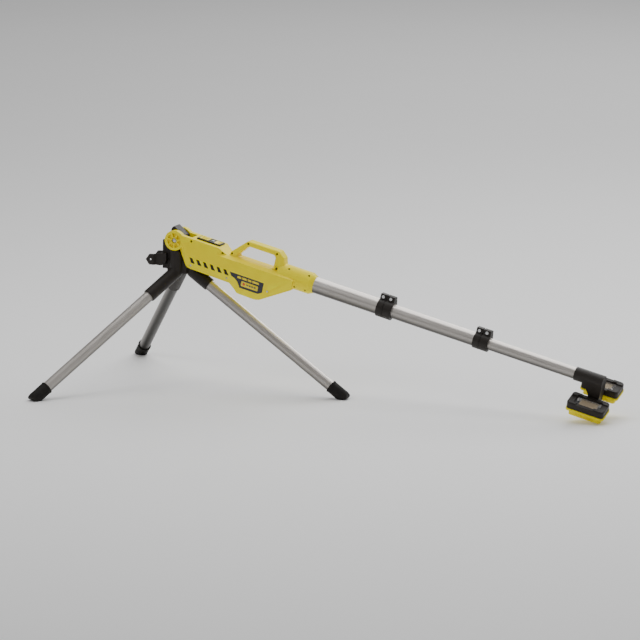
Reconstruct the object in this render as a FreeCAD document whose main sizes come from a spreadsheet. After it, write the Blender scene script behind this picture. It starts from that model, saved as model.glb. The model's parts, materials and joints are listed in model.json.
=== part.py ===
# Cordless tripod work light, folded down for transport: a three-legged stand, a hinged
# battery body with a carrying handle, a three-stage telescopic mast and two tilting lamps.
#
# Row frame: Z up, the feet stand on Z = 0, X runs along the folded mast, Y along the fold
# hinge.  The hub sits on the vertical line X = hub_x.
#
# Three local frames are used:
#   hub frame   origin on the floor under the hub, axes as the row
#   mast frame  origin on the fold hinge, X along the mast, Y along the hinge, Z to the handle
#   head frame  the mast frame turned about the mast by the swivel angle
import FreeCAD, Part
import Sketcher
import math
import os
import re

Vector = FreeCAD.Vector
Placement = FreeCAD.Placement
Rotation = FreeCAD.Rotation

X_AXIS = Vector(1, 0, 0)
Y_AXIS = Vector(0, 1, 0)
Z_AXIS = Vector(0, 0, 1)
ORIGIN = Vector(0, 0, 0)
SIDES = (("left", -1), ("right", 1))

doc = FreeCAD.newDocument("work_light")
sheet = doc.addObject("Spreadsheet::Sheet", "Dims")

# Driving dimensions, in millimetres and degrees.
DIMENSIONS = {
    # stand
    "hub_x": -502.5,
    "apex_height": 360,
    "leg_pitch": 35.1,
    "rear_leg_azimuth": 126.5,
    "leg_tube_od": 32,
    "leg_wall": 1.5,
    "leg_visible_end": 564,
    "leg_inside_foot": 20,
    "socket_od": 39,
    "socket_rear_length": 148,
    "socket_front_length": 97,
    "tube_in_socket": 45,
    "foot_od": 37,
    "foot_reach": 56,
    "toe_height": 10,
    "lobe_offset": 28,
    "hub_half_width": 22,
    "bracket_hole": 7,
    "bracket_rise": 12.6,
    # fold hinge
    "hinge_offset": -18,
    "hinge_height": 434,
    "fold_angle": 13.72,
    "bolt_od": 8,
    "bush_od": 14,
    "boss_radius": 29.5,
    "cheek_inner": 22.5,
    # battery body
    "body_half_width": 40,
    "body_top": 22,
    "body_wall": 3,
    "ledge_top": 7,
    "belly_depth": 95,
    "crease_depth": 31,
    "nose_radius": 32,
    "nose_start": 325,
    "nose_end": 440,
    "handle_half_width": 19,
    "handle_top": 64,
    "grip_opening_top": 49,
    "vent_pitch": 21.9,
    "vent_count": 6,
    "bezel_top": 26.5,
    # mast
    "mast_wall": 1.5,
    "lower_tube_od": 48,
    "middle_tube_od": 41.5,
    "upper_tube_od": 35,
    "lower_clamp_start": 642,
    "upper_clamp_start": 946.5,
    "clamp_length": 45,
    "clamp_band": 19,
    "clamp_od": 56,
    "upper_clamp_od": 49.5,
    "slide_gap": 0.3,
    "hinge_gap": 0.08,
    # head
    "swivel_angle": 24,
    "sleeve_start": 1262,
    "sleeve_end": 1350,
    "sleeve_od": 40,
    "lamp_station": 1328.5,
    "lamp_drop": 74,
    "lamp_spacing": 107,
    "lamp_length": 117,
    "lamp_width": 60,
    "bezel_height": 22,
    "rim_height": 7,
    "lamp_base_height": 16,
    "window_length": 76,
    "window_width": 36,
    "axle_od": 12,
}


def fill_sheet():
    for row, (name, value) in enumerate(DIMENSIONS.items(), start=1):
        sheet.set("A%d" % row, name)
        sheet.set("B%d" % row, str(value))
        sheet.setAlias("B%d" % row, name)
    doc.recompute()


def num(formula):
    """The value of a formula in sheet names, such as "leg_tube_od / 2"."""
    if isinstance(formula, (int, float)):
        return float(formula)
    return float(sheet.evalExpression(formula))


def bind(obj, **formulas):
    """Ties properties of an object to sheet cells; a plain number is set as it is."""
    for prop, formula in formulas.items():
        if isinstance(formula, str):
            obj.setExpression(prop, re.sub(r"[a-z]\w*", lambda m: "Dims." + m.group(0), formula))
        else:
            setattr(obj, prop, formula)


fill_sheet()
HUB = Placement(Vector(num("hub_x"), 0, 0), Rotation())
HINGE = Vector(num("hub_x + hinge_offset"), 0, num("hinge_height"))
MAST = Placement(HINGE, Rotation(Y_AXIS, num("fold_angle")))
HEAD = MAST.multiply(Placement(ORIGIN, Rotation(X_AXIS, num("swivel_angle"))))
PIECES = []
COUNT = {}


def fresh(name):
    COUNT[name] = COUNT.get(name, 0) + 1
    return "%s_%d" % (name, COUNT[name])


def along(axis, at):
    return Placement(Vector(*at), Rotation(Z_AXIS, axis))


def cylinder(name, radius, height, at=(0, 0, 0), axis=Z_AXIS):
    obj = doc.addObject("Part::Cylinder", fresh(name))
    bind(obj, Radius=radius, Height=height)
    obj.Placement = along(axis, at)
    return obj


def cone(name, radius_1, radius_2, height, at=(0, 0, 0), axis=Z_AXIS):
    obj = doc.addObject("Part::Cone", fresh(name))
    bind(obj, Radius1=radius_1, Radius2=radius_2, Height=height)
    obj.Placement = along(axis, at)
    return obj


def sphere(name, radius, at=(0, 0, 0)):
    obj = doc.addObject("Part::Sphere", fresh(name))
    bind(obj, Radius=radius)
    obj.Placement = Placement(Vector(*at), Rotation())
    return obj


def box(name, low, high):
    """A box between two corners, whose coordinates may be formulas."""
    obj = doc.addObject("Part::Box", fresh(name))
    sizes = {}
    for prop, a, b in zip(("Length", "Width", "Height"), low, high):
        sizes[prop] = num(b) - num(a)
        if isinstance(a, str) or isinstance(b, str):
            sizes[prop] = "(%s) - (%s)" % (b, a)
    bind(obj, **sizes)
    obj.Placement = Placement(Vector(*[num(a) for a in low]), Rotation())
    return obj


def slab(name, outline, low, high):
    """A prism along Y: an outline in X and Z, extruded from Y = low to Y = high."""
    sketch = doc.addObject("Sketcher::SketchObject", fresh(name + "_outline"))
    sketch.Placement = Placement(Vector(0, num(low), 0), Rotation(X_AXIS, 90))
    trace(sketch, outline)
    return extrude(name, sketch, Y_AXIS, num(high) - num(low))


def plate(name, outline, low, high):
    """A prism along Z: an outline in X and Y, extruded from Z = low to Z = high."""
    sketch = doc.addObject("Sketcher::SketchObject", fresh(name + "_outline"))
    sketch.Placement = Placement(Vector(0, 0, num(low)), Rotation())
    trace(sketch, outline)
    return extrude(name, sketch, Z_AXIS, num(high) - num(low))


def trace(sketch, outline):
    """Closed polygon; a coordinate given as a formula is held by a dimension tied to the sheet."""
    points = [Vector(num(a), num(b), 0) for a, b in outline]
    count = len(points)
    for i in range(count):
        sketch.addGeometry(Part.LineSegment(points[i], points[(i + 1) % count]), False)
    for i in range(count):
        sketch.addConstraint(Sketcher.Constraint("Coincident", i, 2, (i + 1) % count, 1))
    for i, pair in enumerate(outline):
        for kind, coordinate, here in zip(("DistanceX", "DistanceY"), pair, points[i][:2]):
            if isinstance(coordinate, str):
                number = sketch.addConstraint(Sketcher.Constraint(kind, -1, 1, i, 1, here))
                formula = re.sub(r"[a-z]\w*", lambda m: "Dims." + m.group(0), coordinate)
                sketch.setExpression("Constraints[%d]" % number, formula)


def extrude(name, sketch, direction, length):
    obj = doc.addObject("Part::Extrusion", fresh(name))
    obj.Base = sketch
    obj.DirMode = "Custom"
    obj.Dir = direction
    obj.LengthFwd = abs(length)
    obj.Reversed = length < 0
    obj.Solid = True
    return obj


def fuse(name, *shapes):
    if len(shapes) == 1:
        return shapes[0]
    obj = doc.addObject("Part::MultiFuse", fresh(name))
    obj.Shapes = list(shapes)
    obj.Refine = True
    return obj


def cut(name, base, *tools):
    obj = doc.addObject("Part::Cut", fresh(name))
    obj.Base = base
    obj.Tool = fuse(name + "_tools", *tools)
    obj.Refine = True
    return obj


def common(name, *shapes):
    obj = doc.addObject("Part::MultiCommon", fresh(name))
    obj.Shapes = list(shapes)
    return obj


def crosses(edge):
    """True for a straight edge that runs along Y."""
    extent = edge.BoundBox
    return extent.YLength > 1 and extent.XLength < 0.01 and extent.ZLength < 0.01


def on_side(edge, distance):
    """True for an edge that lies in the plane at that distance to the left or right."""
    extent = edge.BoundBox
    return extent.YLength < 0.01 and abs(abs(extent.YMin) - distance) < 0.01


def rounded_edges(name, base, radius, chosen):
    """Rounds those edges of a shape that the rule picks."""
    doc.recompute()
    obj = doc.addObject("Part::Fillet", fresh(name))
    obj.Base = base
    picked = [i for i, edge in enumerate(base.Shape.Edges, start=1) if chosen(edge)]
    obj.Edges = [(i, num(radius), num(radius)) for i in picked]
    return obj


def group(name, *shapes):
    """Several separate solids of one kind, kept as one sub-part."""
    obj = doc.addObject("Part::Compound", fresh(name))
    obj.Links = list(shapes)
    return obj


def piece(label, obj, frame):
    obj.Label = label
    obj.Placement = frame.multiply(obj.Placement)
    PIECES.append(obj)
    return obj


def tube(name, od, bore, start, end, at=(0, 0), axis=X_AXIS):
    """A tube along X from start to end; od and bore are diameters."""
    length = "(%s) - (%s)" % (end, start)
    origin = (num(start), at[0], at[1])
    outer = cylinder(name, "(%s) / 2" % od, length, origin, axis)
    before = (origin[0] - 1, at[0], at[1])
    inner = cylinder(name + "_bore", "(%s) / 2" % bore, length + " + 2", before, axis)
    return cut(name, outer, inner)


# ---------------------------------------------------------------- stand
POST_OUTLINE = [
    (-37, -87), (-37, 2), (-34, 6), (-17, 14), (-17, 30), (-13, 36.5), (-8, 40), (23, 14), (30, -12),
    (34, -30), (34, -87),
]
# Edge of the folded body's cheek in the mast frame, with room around it.
CHEEK_OUTLINE = [
    (-4, -31), (19, -25.5), (48, -66), (61, -71), (260, -76), (260, 60), (-60, 60), (-60, 0), (-31, 0),
]
# Half of the strap bracket seen from above, and its side seen from the left, about its eye height.
BRACKET_PLAN = [
    (-61.1, 0), (-61.1, 22.1), (-45.5, 22.1), (-45.5, 33), (-66, 33), (-72, 30.5), (-78, 30.5), (-84, 37),
    (-109, 37), (-109, 29), (-86, 29), (-80, 24), (-72, 24), (-67, 21), (-67, 0),
]
BRACKET_SIDE = [
    (-108, 0), (-97, 15.4), (-84, 15.8), (-74, 17), (-64, 20), (-43, 20), (-43, -2), (-52, -14),
    (-64, -16.4), (-97, -15.6),
]
BRACKET_BACK = -61
LEGS = (("left", -num("rear_leg_azimuth")), ("front", 0.0), ("right", num("rear_leg_azimuth")))


def leg_direction(azimuth):
    pitch = math.radians(num("leg_pitch"))
    turn = math.radians(azimuth)
    return Vector(math.cos(turn) * math.cos(pitch), math.sin(turn) * math.cos(pitch), -math.sin(pitch))


def leg_point(azimuth, distance):
    """The point of a leg's axis at a distance from the common apex."""
    return Vector(0, 0, num("apex_height")) + leg_direction(azimuth) * distance


def socket_length(leg):
    return "socket_front_length" if leg == "front" else "socket_rear_length"


def hub_lobe(leg, azimuth, top):
    """A vertical column that bends into the leg socket through a round elbow."""
    reach = num("lobe_offset") / math.cos(math.radians(num("leg_pitch")))
    elbow = leg_point(azimuth, reach)
    column = cylinder("lobe", "socket_od / 2", top - elbow.z, elbow)
    knee = sphere("elbow", "socket_od / 2", elbow)
    length = "%s - %.3f" % (socket_length(leg), reach)
    socket = cylinder("socket", "socket_od / 2", length, elbow, leg_direction(azimuth))
    return fuse("lobe_" + leg, column, knee, socket)


def hub_post():
    """The hinge tongue between the two cheeks of the body, in X and Z about the hinge."""
    x = num("hinge_offset")
    z = num("hinge_height")
    return slab("post", [(x + a, z + b) for a, b in POST_OUTLINE], "-hub_half_width", "hub_half_width")


def body_envelope(side):
    """Room that the hub leaves for one cheek of the folded body and for its round boss."""
    low, high = sorted((side * num("hub_half_width + 0.1"), side * 70))
    room = slab("room", CHEEK_OUTLINE, low, high)
    boss = cylinder("boss_room", "boss_radius + 1.2", high - low, (0, low, 0), Y_AXIS)
    room = fuse("room", room, boss)
    room.Placement = HUB.inverse().multiply(MAST)
    return room


def make_hub():
    hinge = (num("hinge_offset"), 0, num("hinge_height"))
    saddle = num("hinge_height") - 2
    front_top = num("hinge_height") - 47
    parts = [hub_post()]
    for leg, azimuth in LEGS:
        parts.append(hub_lobe(leg, azimuth, front_top if leg == "front" else saddle))
    parts.append(box("core", (-45, -24, "apex_height - 25"), (16, 24, "hinge_height - 60")))
    rib_foot = (BRACKET_BACK, "-hub_half_width", "apex_height - 13")
    parts.append(box("back_rib", rib_foot, (-20, "hub_half_width", "hinge_height - 2")))
    solid = fuse("hub_solid", *parts)
    tools = [body_envelope(-1), body_envelope(1)]
    bore_length = "2 * hub_half_width + 2"
    bore_start = (hinge[0], -num("hub_half_width") - 1, hinge[2])
    tools.append(cylinder("bush_seat", "bush_od / 2 + 0.05", bore_length, bore_start, Y_AXIS))
    for leg, azimuth in LEGS:
        start = leg_point(azimuth, num("tube_in_socket"))
        tools.append(cylinder("tube_seat", "leg_tube_od / 2 + 0.15", 200, start, leg_direction(azimuth)))
        at, down = under_socket(leg, azimuth)
        tools.append(cylinder("screw_seat", 3.2, 20, at + down * 10, down))
    for at, inward in bracket_screw_sites():
        tools.append(cylinder("screw_seat", 1.75, 12, at - inward * 0.5, inward))
    piece("tripod_hub", cut("hub", solid, *tools), HUB)


def bracket_screw_sites():
    """Where the bracket's screws meet the hub: four at the back and one on each side."""
    middle = num("apex_height + bracket_rise")
    sites = [(Vector(BRACKET_BACK, y, middle + z), X_AXIS) for y in (-16, 16) for z in (-11, 13)]
    for side in (-1, 1):
        sites.append((Vector(-51, side * 22, middle - 6), Y_AXIS * -side))
    return sites


def make_bracket():
    """Strap bracket: two ears with an eye, joined by a plate on the back of the hub."""
    middle = num("apex_height + bracket_rise")
    plan = BRACKET_PLAN[1:-1] + [(x, -y) for x, y in reversed(BRACKET_PLAN[1:-1])]
    profile = slab("side", [(x, middle + z) for x, z in BRACKET_SIDE], -40, 40)
    solid = common("bracket", plate("plan", plan, middle - 30, middle + 30), profile)
    tools = [cylinder("eye", "bracket_hole / 2", 90, (-93.6, -45, middle), Y_AXIS)]
    screws = []
    for number, (at, inward) in enumerate(bracket_screw_sites()):
        skin = 6 if number < 4 else 11
        tools.append(cylinder("screw_hole", 2.2, 14, at - inward * 13, inward))
        tools.append(cylinder("head_seat", 3.9, 12.3, at - inward * (skin + 10.6), inward))
        head = cylinder("head", 3.5, 2.2, at - inward * (skin + 0.7), inward)
        shank = cylinder("shank", 1.6, skin + 9, at - inward * skin, inward)
        screws.append(fuse("bracket_screw", head, shank))
    piece("strap_bracket", cut("bracket", solid, *tools), HUB)
    piece("bracket_screws", group("bracket_screws", *screws), HUB)


def make_leg(leg, azimuth):
    start = leg_point(azimuth, num("tube_in_socket") + 1)
    direction = leg_direction(azimuth)
    length = "leg_visible_end + leg_inside_foot - tube_in_socket - 1"
    outer = cylinder("leg_tube", "leg_tube_od / 2", length, start, direction)
    bore_start = start - direction * 2
    inner = cylinder("leg_bore", "leg_tube_od / 2 - leg_wall", length + " + 4", bore_start, direction)
    piece("leg_tube_" + leg, cut("leg", outer, inner), HUB)


def make_foot(leg, azimuth):
    """Rubber shoe: a round cap over the tube, cut off by a flat sole with a blunt toe."""
    pitch = math.radians(num("leg_pitch"))
    end = num("leg_visible_end")
    rim_x = end * math.cos(pitch)
    rim_z = num("apex_height") - end * math.sin(pitch)
    start = Vector(rim_x, 0, rim_z)
    direction = leg_direction(0)
    reach = num("foot_reach")
    toe = rim_x + reach
    cap = cylinder("cap", "foot_od / 2", 130, start, direction)
    collar = cylinder("collar", "foot_od / 2 + 1", 3.5, start, direction)
    side = [(rim_x - 40, 90), (rim_x - 13, 17), (rim_x + 8, 4), (rim_x + 14, 0), (toe - 14, 0)]
    side += [(toe - 4, 3), (toe, "toe_height"), (toe - 3, 16), (toe - 10, 90)]
    solid = common("shoe", fuse("foot", cap, collar), slab("sole", side, -30, 30))
    mouth = start - direction * 5
    room = cylinder("tube_seat", "leg_tube_od / 2 + 0.15", "leg_inside_foot + 6", mouth, direction)
    foot = cut("foot", solid, room)
    foot.Placement = Placement(ORIGIN, Rotation(Z_AXIS, azimuth))
    piece("foot_" + leg, foot, HUB)


def under_socket(leg, azimuth):
    """Where a socket's fixing screw goes in, and the direction away from the tube's axis."""
    turn = math.radians(azimuth)
    pitch = math.radians(num("leg_pitch"))
    down = Vector(-math.cos(turn) * math.sin(pitch), -math.sin(turn) * math.sin(pitch), -math.cos(pitch))
    return leg_point(azimuth, num(socket_length(leg)) - 14), down


def make_leg_screws():
    """One self-tapping screw under each socket holds its tube."""
    screws = []
    for leg, azimuth in LEGS:
        at, down = under_socket(leg, azimuth)
        screws.append(cylinder("leg_screw", 3, 2.2, at + down * (num("leg_tube_od") / 2 + 0.3), down))
    piece("leg_screws", group("leg_screws", *screws), HUB)


def make_hinge():
    bush = tube("bush", "bush_od", "bolt_od + 2 * hinge_gap", "-hub_half_width", "hub_half_width")
    bush.Placement = Placement(HINGE - HUB.Base, Rotation(Z_AXIS, 90))
    piece("hinge_bush", bush, HUB)
    shank = cylinder("shank", "bolt_od / 2", 66, (0, -34, 0), Y_AXIS)
    head = cylinder("bolt_head", 5.8, 4, (0, -37.6, 0), Y_AXIS)
    dome = cone("bolt_dome", 4, 5.8, 1.4, (0, -39, 0), Y_AXIS)
    piece("hinge_bolt", fuse("bolt", shank, head, dome), MAST)
    prism = doc.addObject("Part::Prism", "nut_prism")
    prism.Polygon = 6
    bind(prism, Circumradius=7.4, Height=6)
    prism.Placement = along(Y_AXIS, (0, 33.8, 0))
    thread = cylinder("nut_thread", "bolt_od / 2 + 0.05", 10, (0, 32, 0), Y_AXIS)
    piece("hinge_nut", cut("nut", prism, thread), MAST)
    rings = []
    for low in (-33.5, 31.9):
        ring = cylinder("washer", 7.4, 1.6, (0, low, 0), Y_AXIS)
        hole = cylinder("washer_hole", "bolt_od / 2 + 0.15", 4, (0, low - 1, 0), Y_AXIS)
        rings.append(cut("washer", ring, hole))
    piece("hinge_washers", group("hinge_washers", *rings), MAST)


# ---------------------------------------------------------------- battery body
# Side outline of the body in mast-frame X and Z, seen at the joint between the two shells.
BODY_OUTLINE = [
    (-6, 0), (-6, "body_top"), (135, "body_top"), (163, "ledge_top"), (350, "ledge_top"),
    (382, 0), (380, "-nose_radius"), (291, "3 - belly_depth"), (277, "-belly_depth"),
    (229, "1 - belly_depth"), (219, "2 - belly_depth"), (208, -82), (192, -70), (63, -67), (54, -65),
    (48, -59), (21, -23), (0, -27),
]
CAVITY_OUTLINE = [
    (54, 19), (126, 19), (131, 3), (318, 3), (318, -68), (288, "7 - belly_depth"),
    (277, "4 - belly_depth"), (222, "5 - belly_depth"), (211, -79), (194, -66.5), (64, -63.5), (54, -58),
]
HANDLE_OUTLINE = [
    (163, 0), (172, 20), (214, "handle_top"), (314, "handle_top"), (332, 49), (338, 30), (338, 0),
]
GRIP_OPENING = [(187, 8), (219, "grip_opening_top"), (300, "grip_opening_top"), (307, 43), (307, 8)]
LABEL_OUTLINE = [
    (188, -34), (299, -35), (297, -66), (285, -74), (226, -74), (216, -57), (205, -49), (196, -46),
]
DARK_SCREWS = [(52, 14), (151, 9), (175, 14), (217, 56.5), (309, 55), (320, 14)]
NOSE_SCREWS = [(357, 52), (421, 52), (387, -38), (421, -38)]
TRIM_SCREWS = [(65, -57), (182, -58), (312, -57)]


def halfspace(name, a, b, c, side):
    """A block that lies beyond the plane through three points, on the outside of the body."""
    a, b, c = (Vector(p[0], side * p[1], p[2]) for p in (a, b, c))
    normal = (b - a).cross(c - a)
    normal.normalize()
    if normal.y * side < 0:
        normal = normal * -1
    obj = doc.addObject("Part::Box", fresh(name))
    bind(obj, Length=900, Width=900, Height=200)
    centre = Placement(Vector(-450, -450, 0), Rotation())
    obj.Placement = Placement((a + b + c) * (1 / 3), Rotation(Z_AXIS, normal)).multiply(centre)
    return obj


def body_facets(side, inward):
    """The sloping side facets: lower flank, tail towards the nose, front edge and top shoulder."""
    w = num("body_half_width") - inward
    crease = -num("crease_depth")
    flank = halfspace("flank", (0, w, crease), (300, w, crease), (100, w - 16, crease - 64), side)
    tail = halfspace("tail", (305, w, crease - 2), (381, w, 3), (336, w - 15, -63), side)
    front = halfspace("front", (25, w, 5), (60, w, -52), (34, w - 10, -43), side)
    return [flank, tail, front]


def shoulder(side, inward):
    """Slope from the ledge down to the side face, behind an oblique corner facet at the switches."""
    w = num("body_half_width") - inward
    drop = 1.2 * inward
    ledge = num("ledge_top") - drop
    slope = halfspace("shoulder", (150, w, -drop), (340, w, -drop), (200, w - 15, ledge), side)
    back = inward * 0.8
    corner = halfspace("corner", (133 - back, w, 22), (138 - back, w, -11), (165 - back, w - 15, 8), side)
    return [common("shoulder", slope, corner)]


def boss(side):
    """Round cheek of the body at the fold hinge."""
    low, high = sorted((side * num("cheek_inner"), side * num("body_half_width")))
    return cylinder("boss", "boss_radius", high - low, (0, low, 0), Y_AXIS)


def boss_pockets(side):
    """Dish with seven spokes in the outer face of the boss."""
    outer = num("body_half_width")
    low, high = sorted((side * (outer - 6), side * (outer + 1)))
    ring = cylinder("dish", 21.5, high - low, (0, low, 0), Y_AXIS)
    keep = [cylinder("dish_core", 9.5, high - low + 2, (0, low - 1, 0), Y_AXIS)]
    for i in range(7):
        spoke = box("spoke", (0, low - 1, -1.9), (25, high + 1, 1.9))
        spoke.Placement = Placement(ORIGIN, Rotation(Y_AXIS, 360 / 7 * i + 27)).multiply(spoke.Placement)
        keep.append(spoke)
    return cut("dish", ring, *keep)


def hinge_slot():
    """Slot between the cheeks: open at the front, over the post and down to the front leg."""
    w = num("cheek_inner")
    side = [(-70, 60), (46, 60), (46, -14), (102, -36), (116, -64), (116, -130), (-70, -130)]
    return slab("slot", side, -w, w)


def grip(side):
    """Half of the loop handle, with rounded corners and edges."""
    half = num("handle_half_width")
    low, high = sorted((0, side * half))
    bar = slab("grip", HANDLE_OUTLINE, low, high)
    bar = rounded_edges("grip_corners", bar, 7, lambda edge: crosses(edge) and edge.BoundBox.ZMin > 1)
    opening = slab("grip_opening", GRIP_OPENING, low - 5, high + 5)
    opening = rounded_edges("opening_corners", opening, 6, crosses)
    loop = cut("grip", bar, opening)
    return rounded_edges("grip_rim", loop, 5, lambda edge: on_side(edge, half) and edge.BoundBox.ZMax > 1)


def vents(side):
    """Slanted cooling slots through the flank."""
    slots = []
    low, high = sorted((side * 20, side * 60))
    for i in range(int(num("vent_count"))):
        x = 66 + i * num("vent_pitch")
        slant = [(x - 8.5, -32.8), (x + 1.5, -32.8), (x + 10.5, -47.2), (x + 0.5, -47.2)]
        slots.append(slab("vent", slant, low, high))
    return slots


def flank_offset(depth):
    """Distance of the flank facet from the middle plane at a height below the crease."""
    return num("body_half_width") - (-depth - num("crease_depth")) * 0.25


def label_block(side, low_inset, high_inset):
    """A block with the label's outline, parallel to the flank facet, between two depths."""
    crease = -num("crease_depth")
    w = num("body_half_width")
    outside = halfspace("label_face", (0, w - high_inset, crease), (300, w - high_inset, crease),
                        (100, w - 16 - high_inset, crease - 64), side)
    inside = halfspace("label_back", (0, w - low_inset, crease), (300, w - low_inset, crease),
                       (100, w - 16 - low_inset, crease - 64), side)
    low, high = sorted((side * 10, side * 60))
    return cut("label", common("label", slab("label", LABEL_OUTLINE, low, high), inside), outside)


def screw_sites(side):
    """Heads of the screws that join the shells: where they are and how deep they sit."""
    w = num("body_half_width")
    sites = [(DARK_SCREWS[0], w, 5), (DARK_SCREWS[1], w - 9, 4)]
    for spot in DARK_SCREWS[2:5]:
        sites.append((spot, num("handle_half_width"), 4))
    sites.append((DARK_SCREWS[5], 30, 5))
    return sites


def screw(side, x, z, face, depth):
    """A countersunk shell screw: its head lies the given depth under the face."""
    low, high = sorted((side * (face - depth - 2.2), side * (face - depth)))
    return cylinder("shell_screw", 3, high - low, (x, low, z), Y_AXIS)


def screw_well(side, x, z, face, depth):
    low, high = sorted((side * (face - depth - 2.3), side * (face + 12)))
    return cylinder("screw_well", 3.3, high - low, (x, low, z), Y_AXIS)


def make_shell(name, side):
    w = num("body_half_width")
    low, high = sorted((0, side * w))
    block = slab("block", BODY_OUTLINE, low, high)
    block = cut("block", block, *body_facets(side, 0), *shoulder(side, 0))
    length = "nose_end - nose_start"
    nose = cylinder("nose", "nose_radius", length + " - 14", (num("nose_start"), 0, 0), X_AXIS)
    bevel = cone("nose_bevel", "nose_radius", "nose_radius - 7", 14, (num("nose_end") - 14, 0, 0), X_AXIS)
    half_zone = box("half_zone", (-100, low, -150), (600, low + w, 150))
    nose = common("nose", fuse("nose", nose, bevel), half_zone)
    outer = fuse("shell", block, grip(side), nose, boss(side))
    reach = w - num("body_wall")
    cavity_low, cavity_high = sorted((side * -1, side * reach))
    cavity = slab("cavity", CAVITY_OUTLINE, cavity_low, cavity_high)
    wall = num("body_wall")
    skin = num("cheek_inner") + wall
    slot_skin = box("slot_skin", (40, -skin, -130), (122, skin, -10))
    cavity = cut("cavity", cavity, *body_facets(side, wall), *shoulder(side, wall), slot_skin)
    tube_room = cylinder("tube_room", "lower_tube_od / 2 + 0.15", 200, (num("nose_start") + 8, 0, 0), X_AXIS)
    bolt_room = cylinder("bolt_room", "bolt_od / 2 + 0.15", 100, (0, -50, 0), Y_AXIS)
    seat_low, seat_high = sorted((side * 31.8, side * (w + 2)))
    seat = cylinder("bolt_seat", 7.8, seat_high - seat_low, (0, seat_low, 0), Y_AXIS)
    panel = box("panel_seat", (60, -21, 16), (134, 21, 30))
    tools = [cavity, hinge_slot(), tube_room, bolt_room, seat, boss_pockets(side), panel]
    tools += vents(side)
    tools.append(label_block(side, 1.2, -30))
    for (x, z), face, depth in screw_sites(side):
        tools.append(screw_well(side, x, z, face, depth))
    for x, z in TRIM_SCREWS:
        tools.append(screw_well(side, x, z, flank_offset(z), 0.6))
    for x, angle in NOSE_SCREWS:
        tools.append(nose_screw("nose_well", side, x, angle, 3.3, 1.9, 12))
    tools.append(box("middle_gap", (-100, -0.05, -150), (600, 0.05, 150)))
    piece(name, cut(name, outer, *tools), MAST)


def nose_screw(name, side, x, angle, radius, below, above):
    """A radial screw or its well in the round nose, at an angle above the horizontal."""
    turn = math.radians(angle)
    direction = Vector(0, side * math.cos(turn), math.sin(turn))
    start = Vector(x, 0, 0) + direction * (num("nose_radius") - below - 1.5)
    return cylinder(name, radius, below + 1.5 + above, start, direction)


def make_shell_screws():
    dark = []
    trim = []
    for label, side in SIDES:
        for (x, z), face, depth in screw_sites(side):
            dark.append(screw(side, x, z, face, depth))
        for x, angle in NOSE_SCREWS:
            dark.append(nose_screw("nose_screw", side, x, angle, 3, 1.8, -1.8))
        for x, z in TRIM_SCREWS:
            trim.append(screw(side, x, z, flank_offset(z), 0.7))
    piece("shell_screws", group("shell_screws", *dark), MAST)
    piece("trim_screws", group("trim_screws", *trim), MAST)


def make_labels():
    for label, side in SIDES:
        piece("label_" + label, label_block(side, 1.15, 0.1), MAST)


def make_switches():
    """Proud switch bezel, its two push buttons, the charge indicator and the board below."""
    rim = num("bezel_top")
    frame = box("bezel", (60.2, -20.8, 16.2), (133.8, 20.8, rim))
    wells = [
        box("button_well", (64, -16, 10), (94, 16, 40)),
        box("button_well", (112, -16, 10), (130, 16, 40)),
        box("indicator_well", (98, -2, 20), (108, 9, 40)),
        box("slot_well", (96.5, -16, rim - 1.6), (109.5, 16, 40)),
    ]
    piece("switch_bezel", cut("bezel", frame, *wells), MAST)
    cap = box("cap", (64.3, -15.7, 17.5), (93.7, 15.7, rim + 1.2))
    bump = sphere("bump", 14, (80, 0, rim - 8))
    stem = cylinder("stem", 4, 6, (80, 0, 12), Z_AXIS)
    low_cut = box("low", (60, -20, -10), (100, 20, 12.5))
    piece("power_button", cut("power", fuse("power", cap, bump, stem), low_cut), MAST)
    rocker = box("cap", (112.3, -15.7, 18.8), (129.7, 15.7, rim + 1.4))
    stem = cylinder("stem", 3, 7, (121, 0, 12.5), Z_AXIS)
    dip = cylinder("finger_dip", 40, 50, (121, -25, rim + 39.8), Y_AXIS)
    piece("brightness_button", cut("rocker", fuse("rocker", rocker, stem), dip), MAST)
    piece("charge_indicator", box("indicator", (98.2, -1.8, 20.1), (107.8, 8.8, rim + 0.3)), MAST)
    board = box("switch_board", (66, -18, 3.4), (127, 18, 5))
    domes = [cylinder("dome", 4, 4, (80, 0, 4.9), Z_AXIS), cylinder("dome", 3.2, 4, (121, 0, 4.9), Z_AXIS)]
    piece("switch_board", fuse("switch_board", board, *domes), MAST)


def make_power():
    """Eight lithium cells in their tray, and the lamp driver board."""
    cells = []
    for row in range(2):
        for column in range(4):
            x = 212 + 20 * column
            z = -24 - 20.5 * row
            cells.append(cylinder("cell", 9.2, 48, (x, -24, z), Y_AXIS))
    piece("battery_cells", group("cells", *cells), MAST)
    tray = box("tray", (199, -28, -62), (285, 28, -11))
    room = box("tray_room", (202, -26, -60), (282, 26, 0))
    piece("battery_tray", cut("tray", tray, room), MAST)
    board = box("driver", (128, -24, -26), (188, 24, -24.2))
    chips = [box("chip", (136 + 17 * i, -12, -24.5), (147 + 17 * i, 2, -18)) for i in range(3)]
    piece("driver_board", fuse("driver", board, *chips), MAST)


def make_mast_tube(name, od, start, end):
    piece(name, tube(name, od, od + " - 2 * mast_wall", start, end), MAST)


def clamp_band(name, x, width, od, ear_top):
    """A split band with two ears above the tube for its clamping screw."""
    ring = cylinder(name, "%s / 2" % od, width, (x, 0, 0), X_AXIS)
    ears = box(name + "_ears", (x, -9, num(od) / 2 - 6), (x + width, 9, ear_top))
    slit = box(name + "_slit", (x - 1, -1.2, 10), (x + width + 1, 1.2, ear_top + 1))
    return ring, ears, slit


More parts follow.
